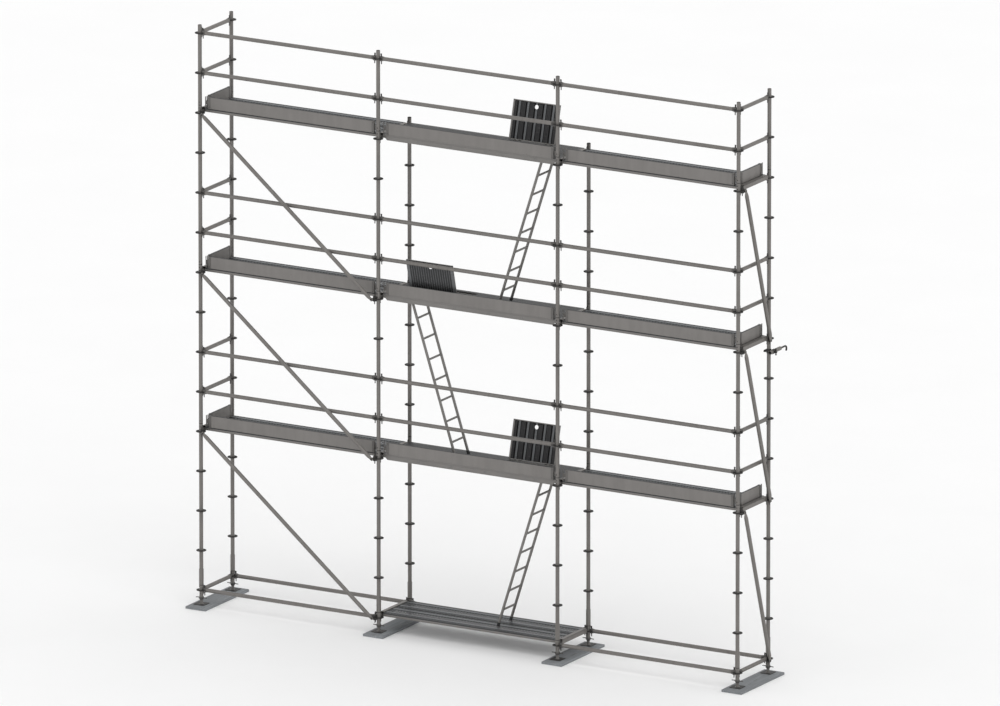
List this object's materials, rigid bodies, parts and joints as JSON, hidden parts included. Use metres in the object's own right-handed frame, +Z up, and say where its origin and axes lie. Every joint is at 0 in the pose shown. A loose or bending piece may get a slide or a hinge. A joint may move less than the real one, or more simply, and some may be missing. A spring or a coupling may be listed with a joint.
{
  "type": "modular scaffold section",
  "caption": "Free-standing ring-lock facade scaffold section with plank decks, hatch decks, ladders, guardrails, toe boards, braces, screw jacks and a wall tie.",
  "frame": {"origin": "on the ground under the middle of the scaffold's overall box", "axes": "+X along the facade, +Y towards the wall, +Z up"},
  "size_m": [7.779, 1.277, 7.308],
  "materials": {
    "galvanised_tube": "hot-dip galvanised, dull warm grey",
    "galvanised_fitting": "dark galvanised casting",
    "wedge_steel": "dark forged steel",
    "deck_steel": "galvanised sheet, blue grey",
    "deck_aluminium": "mill-finish aluminium, weathered",
    "ladder_aluminium": "mill-finish aluminium, weathered",
    "toe_board": "matt warm grey",
    "jack_steel": "galvanised threaded steel",
    "sole_timber": "weathered grey timber"
  },
  "bodies": {
    "frame": {"access_deck_claws": "deck_aluminium", "access_deck_frames": "deck_aluminium", "access_deck_panels": "deck_aluminium", "base_collars": "galvanised_tube", "base_ledgers": "galvanised_tube", "bay_braces": "galvanised_tube", "brace_heads": "galvanised_fitting", "brace_rivets": "wedge_steel", "brace_wedges": "wedge_steel", "deck_locks": "galvanised_tube", "deck_transoms": "galvanised_tube", "end_braces": "galvanised_tube", "end_guardrails": "galvanised_tube", "end_toe_boards": "toe_board", "guardrail_posts": "galvanised_tube", "guardrails": "galvanised_tube", "hatch_hinge_knuckles": "galvanised_fitting", "hatch_hinge_pins": "wedge_steel", "ladder_lugs": "galvanised_fitting", "ladder_pins": "wedge_steel", "ledger_heads": "galvanised_fitting", "plank_claws": "galvanised_fitting", "rosettes": "galvanised_fitting", "spigot_pins": "wedge_steel", "spigots": "galvanised_fitting", "standards_lift_1": "galvanised_tube", "standards_lift_2": "galvanised_tube", "standards_lift_3": "galvanised_tube", "steel_planks": "deck_steel", "tie_coupler": "galvanised_fitting", "tie_coupler_bolts": "wedge_steel", "tie_hook": "wedge_steel", "tie_tube": "galvanised_tube", "toe_board_fittings": "galvanised_fitting", "toe_boards": "toe_board", "transom_heads": "galvanised_fitting", "wedges": "wedge_steel"},
    "foot_1": {"sole_board_1": "sole_timber", "base_jacks_1": "jack_steel"},
    "foot_2": {"sole_board_2": "sole_timber", "base_jacks_2": "jack_steel"},
    "foot_3": {"sole_board_3": "sole_timber", "base_jacks_3": "jack_steel"},
    "foot_4": {"sole_board_4": "sole_timber", "base_jacks_4": "jack_steel"},
    "nut_1": {"wing_nut_1": "jack_steel"},
    "nut_2": {"wing_nut_2": "jack_steel"},
    "nut_3": {"wing_nut_3": "jack_steel"},
    "nut_4": {"wing_nut_4": "jack_steel"},
    "nut_5": {"wing_nut_5": "jack_steel"},
    "nut_6": {"wing_nut_6": "jack_steel"},
    "nut_7": {"wing_nut_7": "jack_steel"},
    "nut_8": {"wing_nut_8": "jack_steel"},
    "hatch_leaf_1": {"hatch_1": "deck_aluminium"},
    "ladder_unit_1": {"ladder_1": "ladder_aluminium"},
    "hatch_leaf_2": {"hatch_2": "deck_aluminium"},
    "ladder_unit_2": {"ladder_2": "ladder_aluminium"},
    "hatch_leaf_3": {"hatch_3": "deck_aluminium"},
    "ladder_unit_3": {"ladder_3": "ladder_aluminium"}
  },
  "joints": [
    {"name": "jack_slide_1", "type": "slide", "parent": "frame", "child": "foot_1", "axis": [0, 0, 1], "range_m": [-0.25, 0.045]},
    {"name": "jack_slide_2", "type": "slide", "parent": "frame", "child": "foot_2", "axis": [0, 0, 1], "range_m": [-0.25, 0.045]},
    {"name": "jack_slide_3", "type": "slide", "parent": "frame", "child": "foot_3", "axis": [0, 0, 1], "range_m": [-0.25, 0.045]},
    {"name": "jack_slide_4", "type": "slide", "parent": "frame", "child": "foot_4", "axis": [0, 0, 1], "range_m": [-0.25, 0.045]},
    {"name": "nut_turn_1", "type": "hinge", "parent": "frame", "child": "nut_1", "pos_m": [-3.7745, -0.4515, 0.108], "axis": [0, 0, 1], "range_deg": [-11260, 2030]},
    {"name": "nut_turn_2", "type": "hinge", "parent": "frame", "child": "nut_2", "pos_m": [-3.7745, 0.2985, 0.108], "axis": [0, 0, 1], "range_deg": [-11260, 2030]},
    {"name": "nut_turn_3", "type": "hinge", "parent": "frame", "child": "nut_3", "pos_m": [-1.2745, -0.4515, 0.108], "axis": [0, 0, 1], "range_deg": [-11260, 2030]},
    {"name": "nut_turn_4", "type": "hinge", "parent": "frame", "child": "nut_4", "pos_m": [-1.2745, 0.2985, 0.108], "axis": [0, 0, 1], "range_deg": [-11260, 2030]},
    {"name": "nut_turn_5", "type": "hinge", "parent": "frame", "child": "nut_5", "pos_m": [1.2255, -0.4515, 0.108], "axis": [0, 0, 1], "range_deg": [-11260, 2030]},
    {"name": "nut_turn_6", "type": "hinge", "parent": "frame", "child": "nut_6", "pos_m": [1.2255, 0.2985, 0.108], "axis": [0, 0, 1], "range_deg": [-11260, 2030]},
    {"name": "nut_turn_7", "type": "hinge", "parent": "frame", "child": "nut_7", "pos_m": [3.7255, -0.4515, 0.108], "axis": [0, 0, 1], "range_deg": [-11260, 2030]},
    {"name": "nut_turn_8", "type": "hinge", "parent": "frame", "child": "nut_8", "pos_m": [3.7255, 0.2985, 0.108], "axis": [0, 0, 1], "range_deg": [-11260, 2030]},
    {"name": "hatch_hinge_1", "type": "hinge", "parent": "frame", "child": "hatch_leaf_1", "pos_m": [0.5355, 0.1485, 2.2615], "axis": [1, 0, 0], "range_deg": [0, 104.5]},
    {"name": "hatch_hinge_2", "type": "hinge", "parent": "frame", "child": "hatch_leaf_2", "pos_m": [-0.5845, -0.3015, 4.2615], "axis": [-1, 0, 0], "range_deg": [0, 104.5]},
    {"name": "hatch_hinge_3", "type": "hinge", "parent": "frame", "child": "hatch_leaf_3", "pos_m": [0.5355, 0.1485, 6.2615], "axis": [1, 0, 0], "range_deg": [0, 104.5]},
    {"name": "ladder_hinge_1", "type": "hinge", "parent": "frame", "child": "ladder_unit_1", "pos_m": [0.8835, -0.0765, 2.178], "axis": [0, 1, 0], "range_deg": [0, 72]},
    {"name": "ladder_hinge_2", "type": "hinge", "parent": "frame", "child": "ladder_unit_2", "pos_m": [-0.9325, -0.0765, 4.178], "axis": [0, -1, 0], "range_deg": [0, 72]},
    {"name": "ladder_hinge_3", "type": "hinge", "parent": "frame", "child": "ladder_unit_3", "pos_m": [0.8835, -0.0765, 6.178], "axis": [0, 1, 0], "range_deg": [0, 72]}
  ],
  "couplings": [
    {"joint": "nut_turn_1", "follows": "jack_slide_1", "rad_per_m": 785.4},
    {"joint": "nut_turn_2", "follows": "jack_slide_1", "rad_per_m": 785.4},
    {"joint": "nut_turn_3", "follows": "jack_slide_2", "rad_per_m": 785.4},
    {"joint": "nut_turn_4", "follows": "jack_slide_2", "rad_per_m": 785.4},
    {"joint": "nut_turn_5", "follows": "jack_slide_3", "rad_per_m": 785.4},
    {"joint": "nut_turn_6", "follows": "jack_slide_3", "rad_per_m": 785.4},
    {"joint": "nut_turn_7", "follows": "jack_slide_4", "rad_per_m": 785.4},
    {"joint": "nut_turn_8", "follows": "jack_slide_4", "rad_per_m": 785.4}
  ]
}
